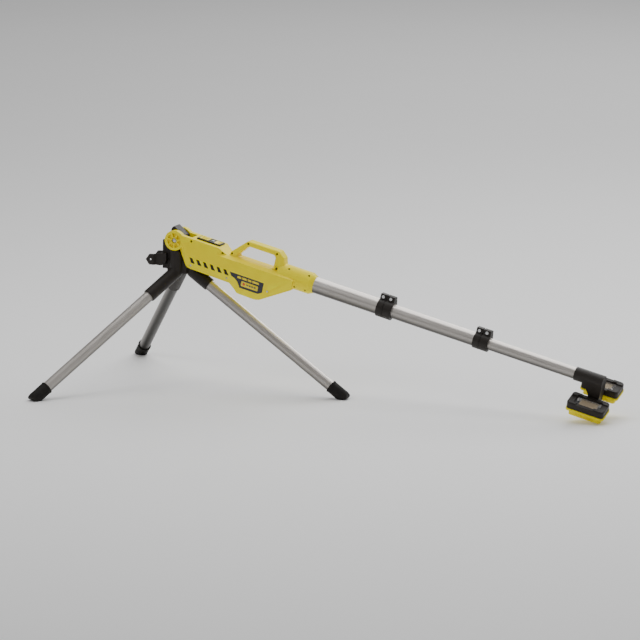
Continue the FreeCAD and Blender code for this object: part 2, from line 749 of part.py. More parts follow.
def make_clamp(stage, start, tube_od, inner_od, outer_od):
    """Stage clamp: a band fixed on the outer tube and a split band that grips the inner tube."""
    x = num(start)
    top = num(outer_od) / 2 + 14
    fixed = clamp_band("fixed_band", x, num("clamp_band"), outer_od, top)
    wide = num("clamp_length - clamp_band") - 2.5
    grip_x = x + num("clamp_band") + 2.5
    loose = clamp_band("grip_band", grip_x, wide, outer_od, top)
    bridge = cylinder("bridge", "%s / 2 - 1.6" % outer_od, 6, (x + num("clamp_band") - 1, 0, 0), X_AXIS)
    body = fuse("clamp", fixed[0], fixed[1], loose[0], loose[1], bridge)
    seat = cylinder("outer_seat", "%s / 2 + 0.15" % tube_od, "clamp_band + 7", (x - 5, 0, 0), X_AXIS)
    slide = cylinder("inner_slide", "%s / 2 + slide_gap" % inner_od, 80, (x - 5, 0, 0), X_AXIS)
    hole_z = num(outer_od) / 2 + 6
    tools = [seat, slide, loose[2]]
    bolts = []
    for middle in (x + num("clamp_band") / 2, grip_x + wide / 2):
        tools.append(cylinder("screw_hole", 2.7, 40, (middle, -20, hole_z), Y_AXIS))
        shank = cylinder("shank", 2.5, 18.5, (middle, -10.5, hole_z), Y_AXIS)
        heads = [cylinder("head", 4.6, 3, (middle, -12.1, hole_z), Y_AXIS)]
        bolts.append(fuse("clamp_screw", shank, *heads))
    piece(stage + "_clamp", cut("clamp", body, *tools), MAST)
    piece(stage + "_clamp_screws", group("clamp_screws", *bolts), MAST)
    make_lever(stage, grip_x + 2, wide - 4, num(outer_od) / 2)


def make_lever(stage, x, width, radius):
    """Cam lever on the far side of the split band, lying against the tube when closed."""
    pivot = (14.2, radius + 6)
    eye = cylinder("lever_eye", 5, width, (x, pivot[0], pivot[1]), X_AXIS)
    reach = radius + 1.2
    outline_y = [(pivot[0] - 2, pivot[1] + 3), (pivot[0] + 4.6, pivot[1] + 2), (reach + 5.2, 8)]
    outline_y += [(reach + 4.4, -12), (reach + 0.8, -12), (reach + 0.6, 4), (reach - 3.5, 14.5)]
    outline_y += [(pivot[0] + 1, pivot[1] - 4.6)]
    arm = crosswise("lever_arm", outline_y, x, x + width)
    hole = cylinder("pin_hole", "1.5 + hinge_gap", width + 4, (x - 2, pivot[0], pivot[1]), X_AXIS)
    lever = cut("lever", fuse("lever", eye, arm), hole)
    piece(stage + "_clamp_lever", lever, MAST)
    pin = cylinder("lever_pin", 1.5, width + 3, (x - 1.5, pivot[0], pivot[1]), X_AXIS)
    piece(stage + "_lever_pin", pin, MAST)


def crosswise(name, outline, low, high):
    """A prism along X: an outline in Y and Z, extruded from X = low to X = high."""
    sketch = doc.addObject("Sketcher::SketchObject", fresh(name + "_outline"))
    turn = Rotation(Y_AXIS, Z_AXIS, X_AXIS, "XYZ")
    sketch.Placement = Placement(Vector(low, 0, 0), turn)
    trace(sketch, outline)
    return extrude(name, sketch, X_AXIS, high - low)


def make_mast():
    make_mast_tube("mast_tube_lower", "lower_tube_od", "nose_start + 10", "lower_clamp_start + clamp_band")
    make_mast_tube("mast_tube_middle", "middle_tube_od", 620, "upper_clamp_start + clamp_band")
    make_mast_tube("mast_tube_upper", "upper_tube_od", 925, "sleeve_start + 60")
    middle_bore = "lower_tube_od - 2 * mast_wall - 2 * slide_gap"
    guide = tube("guide", middle_bore, "middle_tube_od + 0.3", 621, 641)
    piece("guide_bush_middle", guide, MAST)
    upper_bore = "middle_tube_od - 2 * mast_wall - 2 * slide_gap"
    guide = tube("guide", upper_bore, "upper_tube_od + 0.3", 926, 945)
    piece("guide_bush_upper", guide, MAST)
    make_clamp("lower", "lower_clamp_start", "lower_tube_od", "middle_tube_od", "clamp_od")
    make_clamp("upper", "upper_clamp_start", "middle_tube_od", "upper_tube_od", "upper_clamp_od")


# ---------------------------------------------------------------- lamp head
def make_head_bracket():
    """Sleeve over the mast end with a curved, tapering arm that carries the lamp axle."""
    start = num("sleeve_start")
    end = num("sleeve_end")
    sleeve = cylinder("sleeve", "sleeve_od / 2", "sleeve_end - sleeve_start", (start, 0, 0), X_AXIS)
    drop = -num("lamp_drop")
    side = [(start + 30, 0), (start + 30, -19), (start + 38, -24), (start + 45, -32), (start + 50, -43)]
    side += [(start + 53, drop - 4), (start + 58, drop - 9), (start + 77, drop - 9), (start + 82, drop - 4)]
    side += [(end, -8), (end, 0)]
    arm = slab("arm", side, "0.3 - sleeve_od / 2", "sleeve_od / 2 - 0.3")
    solid = fuse("head", sleeve, arm)
    room = cylinder("tube_room", "upper_tube_od / 2 + slide_gap", end - start - 6, (start - 3, 0, 0), X_AXIS)
    ring_room = cylinder("ring_room", 18.8, 18.6, (start + 39.7, 0, 0), X_AXIS)
    axle = cylinder("axle_seat", "axle_od / 2 + 0.1", 60, (num("lamp_station"), -30, drop), Y_AXIS)
    piece("head_bracket", cut("head", solid, room, ring_room, axle), HEAD)
    ring = tube("ring", 37, "upper_tube_od + 0.3", start + 40, start + 58)
    piece("swivel_ring", ring, MAST)
    half = num("lamp_spacing - lamp_width") / 2 + 9
    bar = cylinder("axle", "axle_od / 2", 2 * half, (num("lamp_station"), -half, drop), Y_AXIS)
    piece("lamp_axle", bar, HEAD)


def rounded(name, length, width, radius, low, high):
    """A block with rounded upright corners, centred on the lamp."""
    a = num(length) / 2
    b = num(width) / 2
    slabs = [box(name, (-a + radius, -b, low), (a - radius, b, high))]
    slabs.append(box(name, (-a, -b + radius, low), (a, b - radius, high)))
    for x in (radius - a, a - radius):
        for y in (radius - b, b - radius):
            slabs.append(cylinder(name, radius, high - low, (x, y, low)))
    return fuse(name, *slabs)


def make_lamp(label, side):
    """One lamp, in its own frame: X along the mast, Z the way it shines, origin on its axle."""
    origin = Vector(num("lamp_station"), side * num("lamp_spacing") / 2, -num("lamp_drop"))
    frame = HEAD.multiply(Placement(origin, Rotation()))
    rim = num("rim_height")
    base = num("lamp_base_height")
    bottom = -13
    seam = bottom + base + rim
    top = seam + num("bezel_height")
    foot = rounded("base", "lamp_length - 18", "lamp_width - 10", 8, bottom, seam - rim)
    flange = rounded("rim", "lamp_length", "lamp_width", 9, seam - rim, seam)
    room = rounded("lamp_room", "lamp_length - 26", "lamp_width - 18", 5, bottom + 3, seam + 1)
    neck = cylinder("neck", 9.5, 11, (0, -side * (num("lamp_width") / 2 - 12), 0), Vector(0, -side, 0))
    axle = cylinder("axle_room", "axle_od / 2 + hinge_gap", 60, (0, -side * 14, 0), Vector(0, -side, 0))
    fins = []
    for i in range(7):
        x = -27 + 9 * i
        for y in (-1, 1):
            low, high = sorted((y * (num("lamp_width") / 2 - 5 - 2), y * 40))
            fins.append(box("fin_gap", (x - 1.6, low, bottom + 3), (x + 1.6, high, seam - rim - 3)))
    walls = cut("walls", fuse("walls", foot, flange), room)
    housing = cut("housing", fuse("housing", walls, neck), axle, *fins)
    piece("lamp_%s_housing" % label, housing, frame)

    frame_block = rounded("bezel", "lamp_length - 3", "lamp_width - 3", 9, seam + 0.1, top - 3)
    guards = rounded("guard", "lamp_length - 6", "lamp_width - 6", 8, top - 4, top)
    window = rounded("window", "window_length", "window_width", 3, seam - 1, top + 1)
    dip_long = box("dip", (-28, -50, top - 3), (24, 50, top + 1))
    dip_short = box("dip", (-80, -12, top - 3), (80, 12, top + 1))
    inside = rounded("bezel_room", "lamp_length - 18", "lamp_width - 12", 5, seam - 1, top - 7)
    bezel = cut("bezel", fuse("bezel", frame_block, guards), window, dip_long, dip_short, inside)
    piece("lamp_%s_bezel" % label, bezel, frame)

    lens = rounded("lens", "lamp_length - 19", "lamp_width - 13", 4, top - 9.6, top - 7.1)
    piece("lamp_%s_lens" % label, lens, frame)
    dish = rounded("dish", "lamp_length - 20", "lamp_width - 14", 4, seam + 4.5, top - 9.7)
    mouth = rounded("mouth", "window_length - 2", "window_width - 1", 3, seam + 6.9, top - 5)
    piece("lamp_%s_reflector" % label, cut("dish", dish, mouth), frame)
    panel = rounded("led_panel", 54, 32, 1.5, seam + 7, seam + 9.4)
    piece("lamp_%s_led_panel" % label, panel, frame)
    sink = box("sink", (-36, -17, seam - 7), (36, 17, seam - 3.5))
    blades = [box("blade", (-34 + 8 * i, -16, seam - 19), (-31.5 + 8 * i, 16, seam - 6.9)) for i in range(9)]
    pedestal = box("pedestal", (-22, -12, seam - 3.6), (22, 12, seam + 4.4))
    piece("lamp_%s_heat_sink" % label, fuse("sink", sink, pedestal, *blades), frame)
    screws = []
    for x in (-1, 1):
        for y in (-1, 1):
            at = (x * (num("lamp_length") / 2 - 6.5), y * (num("lamp_width") / 2 - 6.5), seam - rim - 1.6)
            screws.append(cylinder("lamp_screw", 2.6, 1.55, at))
    piece("lamp_%s_screws" % label, group("lamp_screws", *screws), frame)


def check_document():
    doc.recompute()
    for obj in doc.Objects:
        bad = [state for state in obj.State if state in ("Invalid", "Error")]
        if bad:
            raise RuntimeError("%s: %s" % (obj.Name, bad))
    for obj in PIECES:
        shape = obj.Shape
        if shape.isNull() or not shape.isValid() or not shape.Solids:
            raise RuntimeError("%s has no valid solid" % obj.Label)


def write_pieces():
    os.makedirs("parts", exist_ok=True)
    for obj in PIECES:
        obj.Shape.exportStep("parts/%s.step" % obj.Label)
        print("%-26s solids %2d  volume %9.0f mm3" % (obj.Label, len(obj.Shape.Solids), obj.Shape.Volume))


make_hub()
make_bracket()
for leg_name, leg_azimuth in LEGS:
    make_leg(leg_name, leg_azimuth)
    make_foot(leg_name, leg_azimuth)
make_leg_screws()
make_hinge()
for shell_side, shell_sign in SIDES:
    make_shell("body_shell_" + shell_side, shell_sign)
make_shell_screws()
make_labels()
make_switches()
make_power()
make_mast()
make_head_bracket()
for lamp_side, lamp_sign in SIDES:
    make_lamp(lamp_side, lamp_sign)
check_document()
write_pieces()
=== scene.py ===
"""Looks of the folded tripod work light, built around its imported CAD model.

The CAD nodes stay where they are.  They get moulded edges, procedural materials and small
pieces of their own: label marks, LED chips, screw heads, slot louvres and moulding lines.

Lengths below are in millimetres of the mast frame (origin on the fold hinge, X along the
mast, Z towards the handle) or of a lamp's frame (origin on its axle, Z the way it shines).
"""

import json
import math

import bmesh
import bpy
from mathutils import Matrix, Vector


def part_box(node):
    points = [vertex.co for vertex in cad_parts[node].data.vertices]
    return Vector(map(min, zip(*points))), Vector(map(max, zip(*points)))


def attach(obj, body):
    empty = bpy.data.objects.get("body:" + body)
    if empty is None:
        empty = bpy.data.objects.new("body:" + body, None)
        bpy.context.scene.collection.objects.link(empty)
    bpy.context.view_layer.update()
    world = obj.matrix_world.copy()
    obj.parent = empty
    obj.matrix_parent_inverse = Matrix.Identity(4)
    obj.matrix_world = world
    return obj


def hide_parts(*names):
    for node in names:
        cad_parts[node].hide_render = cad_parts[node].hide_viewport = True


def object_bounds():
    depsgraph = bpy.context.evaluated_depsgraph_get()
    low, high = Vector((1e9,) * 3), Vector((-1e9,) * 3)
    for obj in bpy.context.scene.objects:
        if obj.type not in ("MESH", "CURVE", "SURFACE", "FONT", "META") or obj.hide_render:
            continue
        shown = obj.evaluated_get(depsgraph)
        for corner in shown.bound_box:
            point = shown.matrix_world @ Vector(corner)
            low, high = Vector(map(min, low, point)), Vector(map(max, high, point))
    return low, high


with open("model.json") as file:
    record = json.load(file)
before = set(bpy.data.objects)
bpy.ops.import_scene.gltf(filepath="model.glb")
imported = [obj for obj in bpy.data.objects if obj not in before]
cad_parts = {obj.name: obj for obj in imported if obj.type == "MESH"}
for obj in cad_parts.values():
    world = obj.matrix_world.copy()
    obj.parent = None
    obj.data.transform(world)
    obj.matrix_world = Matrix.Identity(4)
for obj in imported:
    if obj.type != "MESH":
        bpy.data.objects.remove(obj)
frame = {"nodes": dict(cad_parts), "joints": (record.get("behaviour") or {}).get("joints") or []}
CAD_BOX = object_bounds()

MM = 0.001
NODES = frame["nodes"]
JOINTS = {joint["name"]: joint for joint in frame["joints"]}
SIDES = {"left": -1, "right": 1}
OUTSIDE_BODY = 0.2
JOIN_DISTANCE = 1e-5

# Degrees: up to the first a face counts as flat, and from the others on an edge is rounded.
FLAT_ANGLE, CAD_EDGE_ANGLE, NEW_EDGE_ANGLE = 0.4, 28, 30

# How light the metal of each leg is painted; the far one is greyer in the photograph, so its metal carries
# a painted shade.
LEG_SHADE_TONES = {"left": 1.0, "front": 1.0, "right": 0.55}

# The marks on a label.
BAR_ENDS = [214, 229, 247, 262, 286]
BAR_GAP = 2.8
BAR_MIDDLE, BAR_HEIGHT, BAR_LEAN = -42.5, 6.5, 2.2
PLATE_X, PLATE_Z, PLATE_CORNER = (229, 283), (-67, -51), 2.5
MARK_Z = -59
DOT_X, DOT_RADIUS = 237.5, 4.2
RULE_START, RULE_PITCH, RULE_LENGTH, RULE_HEIGHT, RULE_LEAN, RULE_COUNT = 246, 8, 6, 4.5, 1.0, 4
INK_HEIGHTS = (-0.02, 0.05)
TOP_INK_HEIGHTS = (0.0, 0.09)

# The cooling slots of a flank; an outline below starts from the upper end of a slot.
SLOT_COUNT, SLOT_PITCH, SLOT_WIDTH, SLOT_LEAN = 6, 21.9, 10, 9 / 14.4
SLOT_START = (57.5, -32.8)
BETWEEN_SLOTS = (77, -40)
PANEL_OUTLINE = [(-0.8, 0.5), (10.4, 0.5), (19.8, -14.9), (8.6, -14.9)]
PANEL_DEPTHS = (2.2, 0.55)
RIB_TOPS = (-2.2, -5.4, -8.6, -11.8)
RIB_DEPTHS = (0.7, 0.3)
RIB_THICKNESS = 1

# The raised line on a flank under the handle.
SIDE_LINE = [(186, -4), (190, -7.5), (290, -15), (294, -12), (292, -8.5), (189, -1)]
SIDE_LINE_RADIUS = 0.45

# The LED chips of a lamp.
CHIP_COLUMNS, CHIP_ROWS = 11, 6
CHIP_PITCH = (4.6, 4.9)
CHIP_HALF_SIZE, CHIP_HEIGHT = 1.75, 0.7

# The studio, in metres and watts: where a light is, its size and its power.
LIGHTS = {
    "key": ((-2.6, -3.4, 3.4), (1.8, 1.8), 50),
    "fill": ((3.6, -3.2, 1.8), (2.4, 2.4), 6),
    "top": ((0.2, 0.6, 3.6), (3.6, 3.0), 95),
    "rim": ((0.6, 3.8, 2.4), (3.0, 1.6), 14),
    "backdrop": ((1.5, 7.5, 6.0), (9.0, 5.0), 470),
}
WORLD_LIGHT = 0.22
FLOOR_REACH = 60
FLOOR_GAP = 0.0002

# The camera, in degrees and metres; it aims at a point given from the fold hinge.
CAMERA_AZIMUTH, CAMERA_ELEVATION, CAMERA_ROLL = 20.53, 10.33, -0.92
CAMERA_DISTANCE, VIEW_WIDTH = 17.4, 1.856
SENSOR_WIDTH_MM = 36.0
AIM_FROM_HINGE = Vector((0.4430, 0, -0.2066))


def axes(origin, x, y, z):
    """The matrix of a frame with that origin and those three axes."""
    turn = Matrix((x, y, z)).transposed().to_4x4()
    return Matrix.Translation(origin) @ turn


ALONG = Vector(JOINTS["middle_slide"]["axis"])
ACROSS = Vector(JOINTS["body_fold"]["axis"])
UP = ALONG.cross(ACROSS)
TILT = Vector(JOINTS["left_tilt"]["axis"])
MAST = axes(Vector(JOINTS["body_fold"]["pos_m"]), ALONG, ACROSS, UP)
LAMPS = {
    side: axes(Vector(JOINTS[side + "_tilt"]["pos_m"]), ALONG, TILT, ALONG.cross(TILT))
    for side in SIDES
}


# ---------------------------------------------------------------- material nodes
class Shader:
    """A Principled material and short names for the nodes that feed it."""

    def __init__(self, name, roughness, metallic=0.0, specular=0.5):
        self.material = bpy.data.materials.new(name)
        self.material.use_nodes = True
        self.tree = self.material.node_tree
        self.surface = self.tree.nodes["Principled BSDF"]
        self.surface.inputs["Roughness"].default_value = roughness
        self.surface.inputs["Metallic"].default_value = metallic
        self.surface.inputs["Specular IOR Level"].default_value = specular
        coordinates = self.node("ShaderNodeTexCoord")
        self.place = coordinates.outputs["Object"]
        self.facing = coordinates.outputs["Normal"]

    def node(self, kind, **settings):
        made = self.tree.nodes.new(kind)
        for name, value in settings.items():
            setattr(made, name, value)
        return made

    def link(self, source, target):
        self.tree.links.new(source, target)

    def feed(self, socket, source):
        self.link(source, self.surface.inputs[socket])

    def grained(self, direction, stretch):
        """Coordinates squeezed along a direction, for brushed and drawn metal."""
        turn = self.node("ShaderNodeMapping")
        level = direction.to_track_quat("X", "Z").inverted()
        turn.inputs["Rotation"].default_value = level.to_euler()
        squeeze = self.node("ShaderNodeMapping")
        squeeze.inputs["Scale"].default_value = (1 / stretch, 1, 1)
        self.link(self.place, turn.inputs["Vector"])
        self.link(turn.outputs["Vector"], squeeze.inputs["Vector"])
        return squeeze.outputs["Vector"]

    def noise(self, size, detail=3.0, place=None):
        """Noise whose features are about that many millimetres."""
        made = self.node("ShaderNodeTexNoise")
        made.inputs["Scale"].default_value = 1 / (size * MM)
        made.inputs["Detail"].default_value = detail
        self.link(place or self.place, made.inputs["Vector"])
        return made.outputs["Fac"]

    def cells(self, size):
        """A grain of small cells about that many millimetres wide."""
        made = self.node("ShaderNodeTexVoronoi")
        made.inputs["Scale"].default_value = 1 / (size * MM)
        self.link(self.place, made.inputs["Vector"])
        return made.outputs["Distance"]

    def spread(self, source, low, high, start=0.3, end=0.7):
        """A value moved from the range start..end to low..high."""
        made = self.node("ShaderNodeMapRange")
        made.inputs["From Min"].default_value = start
        made.inputs["From Max"].default_value = end
        made.inputs["To Min"].default_value = low
        made.inputs["To Max"].default_value = high
        self.link(source, made.inputs["Value"])
        return made.outputs["Result"]

    def blend(self, factor, first, second):
        """A colour between two colours or colour sources."""
        made = self.node("ShaderNodeMix", data_type="RGBA")
        self.link(factor, made.inputs["Factor"])
        for socket, colour in (("A", first), ("B", second)):
            target = next(s for s in made.inputs if s.name == socket and s.type == "RGBA")
            if isinstance(colour, bpy.types.NodeSocket):
                self.link(colour, target)
            else:
                target.default_value = (*colour, 1)
        return next(s for s in made.outputs if s.type == "RGBA")

    def times(self, first, second):
        made = self.node("ShaderNodeMath", operation="MULTIPLY")
        self.link(first, made.inputs[0])
        self.link(second, made.inputs[1])
        return made.outputs["Value"]

    def edges(self, low=0.51, high=0.58):
        """1 on outer edges and 0 on flat faces and in corners."""
        shape = self.node("ShaderNodeNewGeometry")
        return self.spread(shape.outputs["Pointiness"], 0, 1, low, high)

    def bump(self, height, depth, strength=1.0, below=None):
        """Relief of that depth in millimetres; returns its normal for more relief on top."""
        made = self.node("ShaderNodeBump")
        made.inputs["Strength"].default_value = strength
        made.inputs["Distance"].default_value = depth * MM
        self.link(height, made.inputs["Height"])
        if below:
            self.link(below, made.inputs["Normal"])
        self.feed("Normal", made.outputs["Normal"])
        return made.outputs["Normal"]


def moulded(name, colour, shade, gloss, grain, depth, specular):
    """Moulded plastic: fine grain, slow colour drift and paler outer edges, partly rubbed wear and partly a
    painted highlight; gloss is roughness.
    """
    shader = Shader(name, gloss, 0.0, specular)
    drift = shader.spread(shader.noise(35, 4), 0, 1, 0.35, 0.65)
    tinted = shader.blend(drift, colour, shade)
    # Paler outer edges: partly rubbed wear, partly a painted highlight.
    edge_wear_and_highlight = shader.times(shader.edges(), shader.spread(shader.noise(4, 5), 0.15, 0.6))
    pale = [min(1.0, c * 1.25 + 0.01) for c in colour]
    shader.feed("Base Color", shader.blend(edge_wear_and_highlight, tinted, pale))
    shader.feed("Roughness", shader.spread(shader.noise(9, 5), gloss - 0.06, gloss + 0.07))
    skin = shader.bump(shader.noise(60, 2), 0.25, 0.25)
    shader.bump(shader.cells(grain), depth, 0.6, skin)
    return shader


def yellow_plastic():
    return moulded(
        "yellow_plastic", (1.0, 0.83, 0.0), (0.96, 0.78, 0.0),
        gloss=0.38, grain=0.55, depth=0.02, specular=0.15,
    )


def button_plastic():
    return moulded(
        "button_plastic", (0.99, 0.80, 0.0), (0.96, 0.76, 0.0),
        gloss=0.26, grain=0.4, depth=0.01, specular=0.3,
    )


def black_plastic():
    return moulded(
        "black_plastic", (0.016, 0.0125, 0.010), (0.022, 0.017, 0.014),
        gloss=0.48, grain=0.6, depth=0.05, specular=0.3,
    )


def grey_plastic():
    return moulded(
        "grey_plastic", (0.16, 0.16, 0.165), (0.20, 0.20, 0.20),
        gloss=0.5, grain=0.5, depth=0.03, specular=0.5,
    )


def foot_rubber():
    """Black rubber with a dusty bloom and scuffs."""
    shader = Shader("foot_rubber", 0.72, 0.0, 0.25)
    dust = shader.times(shader.spread(shader.noise(12, 6), 0, 1, 0.45, 0.75), shader.edges(0.49, 0.56))
    mottle = shader.spread(shader.noise(25, 3), 0, 1)
    base = shader.blend(mottle, (0.009, 0.008, 0.007), (0.014, 0.012, 0.011))
    shader.feed("Base Color", shader.blend(dust, base, (0.05, 0.045, 0.04)))
    shader.feed("Roughness", shader.spread(shader.noise(6, 5), 0.6, 0.85))
    shader.bump(shader.cells(0.9), 0.08, 0.7, shader.bump(shader.noise(3, 6), 0.1, 0.5))
    return shader


def aluminium(name, direction, light):
    """Satin tube, drawn along its axis: long streaks, rub marks and a painted shade darkening its
    underside.
    """
    shader = Shader(name, 0.34, 0.85)
    streaks = shader.noise(0.8, 4, shader.grained(direction, 90))
    darker = [light * c for c in (0.60, 0.56, 0.52)]
    paler = [light * c for c in (0.70, 0.66, 0.62)]
    tone = shader.blend(shader.spread(streaks, 0, 1), darker, paler)
    rubs = shader.spread(shader.noise(7, 6, shader.grained(direction, 8)), 0, 1, 0.66, 0.78)
    unshaded = shader.blend(rubs, tone, (0.78, 0.76, 0.74))
    # Painted shade: the base colour darkens towards the tube's downward-facing side.
    split = shader.node("ShaderNodeSeparateXYZ")
    shader.link(shader.facing, split.inputs["Vector"])
    below = shader.spread(split.outputs["Z"], 0, 1, 0.3, -0.6)
    underside_shade = [light * c for c in (0.09, 0.085, 0.08)]
    shader.feed("Base Color", shader.blend(below, unshaded, underside_shade))
    shader.feed("Roughness", shader.spread(streaks, 0.30, 0.42))
    shader.bump(streaks, 0.015, 0.5)
    return shader


def steel(name, dark, bright, roughness):
    """Plated or blackened steel with turning marks and fine scratches."""
    shader = Shader(name, roughness, 1.0)
    marks = shader.noise(0.35, 5, shader.grained(ACROSS, 0.1))
    shader.feed("Base Color", shader.blend(shader.spread(marks, 0, 1), dark, bright))
    shader.feed("Roughness", shader.spread(shader.noise(1.5, 5), roughness - 0.08, roughness + 0.12))
    shader.bump(marks, 0.02, 0.5)
    return shader


def cast_metal():
    """Extruded heat-sink aluminium."""
    shader = Shader("heat_sink_aluminium", 0.45, 1.0)
    shader.feed("Base Color", shader.blend(shader.noise(2, 4), (0.62, 0.62, 0.62), (0.78, 0.78, 0.77)))
    shader.bump(shader.noise(0.6, 4), 0.03, 0.5)
    return shader


def reflector_metal():
    """Vacuum-metallised reflector with slight waviness."""
    shader = Shader("reflector_metal", 0.16, 1.0)
    shader.feed("Base Color", shader.blend(shader.noise(8, 3), (0.82, 0.81, 0.79), (0.92, 0.91, 0.89)))
    shader.bump(shader.noise(4, 3), 0.06, 0.6)
    return shader


def label_film():
    """Navy-black printed film: faint halftone, satin gloss."""
    shader = Shader("label_film", 0.3)
    tone = shader.blend(shader.noise(14, 4), (0.010, 0.010, 0.022), (0.016, 0.016, 0.034))
    shader.feed("Base Color", tone)
    shader.feed("Roughness", shader.spread(shader.noise(3, 4), 0.25, 0.4))
    shader.bump(shader.noise(1.2, 3), 0.01, 0.4)
    return shader


def ink(name, colour):
    """Printed ink, a little uneven."""
    shader = Shader(name, 0.35)
    darker = [0.9 * c for c in colour]
    shader.feed("Base Color", shader.blend(shader.spread(shader.noise(2.5, 5), 0, 1), colour, darker))
    shader.feed("Roughness", shader.spread(shader.noise(1, 4), 0.3, 0.45))
    return shader


def circuit_board():
    """Green solder mask with lighter copper runs under it."""
    shader = Shader("circuit_board", 0.35)
    wave = shader.node("ShaderNodeTexWave")
    wave.inputs["Scale"].default_value = 130
    wave.inputs["Distortion"].default_value = 5
    shader.link(shader.place, wave.inputs["Vector"])
    runs = shader.spread(wave.outputs["Fac"], 0, 1, 0.6, 0.7)
    shader.feed("Base Color", shader.blend(runs, (0.008, 0.07, 0.025), (0.02, 0.16, 0.055)))
    shader.bump(runs, 0.05, 0.6)
    return shader


def cell_wrap():
    """Shrink-wrapped cells."""
    shader = Shader("cell_wrap", 0.25)
    shader.feed("Base Color", shader.blend(shader.noise(20, 2), (0.02, 0.14, 0.38), (0.03, 0.18, 0.45)))
    shader.bump(shader.noise(5, 3), 0.08, 0.4)
    return shader


def led_board():
    """Warm white board between the LED chips."""
    shader = Shader("led_board", 0.5)
    shader.feed("Base Color", shader.blend(shader.noise(3, 4), (0.42, 0.33, 0.21), (0.52, 0.42, 0.28)))
    shader.bump(shader.cells(1.2), 0.05, 0.5)
    return shader


def phosphor():
    """The yellow-tan phosphor of an LED chip."""
    shader = Shader("phosphor", 0.42)
    shader.surface.inputs["Subsurface Weight"].default_value = 0.15
    shader.surface.inputs["Subsurface Radius"].default_value = (0.002, 0.0015, 0.0005)
    shader.feed("Base Color", shader.blend(shader.noise(1, 4), (0.50, 0.36, 0.17), (0.62, 0.47, 0.26)))
    shader.bump(shader.noise(0.3, 3), 0.02, 0.4)
    return shader


def lens_glass():
    """Clear thin lens: a faint veil with soft reflections over the LED panel."""
    shader = Shader("lens_glass", 0.06)
    shader.surface.inputs["Alpha"].default_value = 0.05
    shader.feed("Roughness", shader.spread(shader.noise(15, 4), 0.04, 0.09))
    shader.feed("Base Color", shader.blend(shader.noise(30, 2), (0.80, 0.82, 0.86), (0.88, 0.89, 0.92)))
    return shader


def indicator_plastic():
    """Milky window over the charge lights."""
    shader = Shader("indicator_plastic", 0.2)
    shader.surface.inputs["Subsurface Weight"].default_value = 0.3
    shader.feed("Base Color", shader.blend(shader.noise(5, 3), (0.55, 0.55, 0.60), (0.68, 0.68, 0.72)))
    shader.bump(shader.noise(2, 2), 0.02, 0.3)
    return shader


def leg_axis(side):
    """About the direction of a leg tube, from its hub end to its foot, for its drawn streaks."""
    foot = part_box("foot_" + side)
    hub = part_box("tripod_hub")
    outwards = (foot[0] + foot[1]) / 2 - (hub[0] + hub[1]) / 2
    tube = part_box("leg_tube_" + side)
    size = tube[1] - tube[0]
    run = math.copysign(size.x, outwards.x), math.copysign(size.y, outwards.y)
    return Vector((*run, -size.z)).normalized()


def give(material, *names):
    """Puts one material on every slot of some CAD nodes."""
    for name in names:
        data = NODES[name].data
        if not data.materials:
            data.materials.append(material)
        for slot in NODES[name].material_slots:
            slot.material = material


# ---------------------------------------------------------------- moulded edges on CAD nodes
def shade_smooth(obj):
    """Smooth shading by a modifier, so that the CAD mesh itself stays as it is."""
    group = bpy.data.node_groups.get("shade_smooth")
    if group is None:
        group = bpy.data.node_groups.new("shade_smooth", "GeometryNodeTree")
        group.interface.new_socket("Geometry", in_out="INPUT", socket_type="NodeSocketGeometry")
        group.interface.new_socket("Geometry", in_out="OUTPUT", socket_type="NodeSocketGeometry")
        start = group.nodes.new("NodeGroupInput")
        smooth = group.nodes.new("GeometryNodeSetShadeSmooth")
        end = group.nodes.new("NodeGroupOutput")
        group.links.new(start.outputs[0], smooth.inputs["Geometry"])
        group.links.new(smooth.outputs[0], end.inputs[0])
    obj.modifiers.new("shade_smooth", "NODES").node_group = group


def rounded(names, width, segments=3):
    """Rounds the sharp edges of CAD nodes as a mould would, by that width in millimetres."""
    for name in names:
        obj = NODES[name]
        obj.modifiers.new("weld", "WELD").merge_threshold = JOIN_DISTANCE
        flat = obj.modifiers.new("flat_faces", "DECIMATE")
        flat.decimate_type = "DISSOLVE"
        flat.angle_limit = math.radians(FLAT_ANGLE)
        shade_smooth(obj)
        bevel = obj.modifiers.new("rounded_edges", "BEVEL")
        bevel.width = width * MM
        bevel.segments = segments
        bevel.limit_method = "ANGLE"
        bevel.angle_limit = math.radians(CAD_EDGE_ANGLE)
        bevel.use_clamp_overlap = True
        normals = obj.modifiers.new("even_normals", "WEIGHTED_NORMAL")
        normals.weight = 80
        normals.keep_sharp = True


def softened(names, voxel, passes):
    """Gives CAD nodes the flowing corners of thick mouldings and rubber."""
    for name in names:
        obj = NODES[name]
        remesh = obj.modifiers.new("even_mesh", "REMESH")
        remesh.mode = "VOXEL"
        remesh.voxel_size = voxel * MM
        remesh.use_smooth_shade = True
        smooth = obj.modifiers.new("flowing_corners", "SMOOTH")
        smooth.factor = 0.5
        smooth.iterations = passes


# ---------------------------------------------------------------- new pieces
def mesh_piece(name, mesh, material, body):
    """A new piece from a bmesh in scene coordinates, riding on a body."""
    data = bpy.data.meshes.new(name)
    bmesh.ops.recalc_face_normals(mesh, faces=mesh.faces)
    mesh.to_mesh(data)
    mesh.free()
    obj = bpy.data.objects.new(name, data)
    bpy.context.scene.collection.objects.link(obj)
    data.materials.append(material)
    for polygon in data.polygons:
        polygon.use_smooth = True
    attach(obj, body)
    return obj


def crisp(obj, width):
    """Small rounded edges on a new piece."""
    bevel = obj.modifiers.new("rounded_edges", "BEVEL")
    bevel.width = width * MM
    bevel.segments = 2
    bevel.limit_method = "ANGLE"
    bevel.angle_limit = math.radians(NEW_EDGE_ANGLE)
    obj.modifiers.new("even_normals", "WEIGHTED_NORMAL").keep_sharp = True


def prism(mesh, ring_low, ring_high):
    """A closed prism between two rings of as many points."""
    low = [mesh.verts.new(p) for p in ring_low]
    high = [mesh.verts.new(p) for p in ring_high]
    count = len(low)
    mesh.faces.new(low[::-1])
    mesh.faces.new(high)
    for i in range(count):
        j = (i + 1) % count
        mesh.faces.new((low[i], low[j], high[j], high[i]))


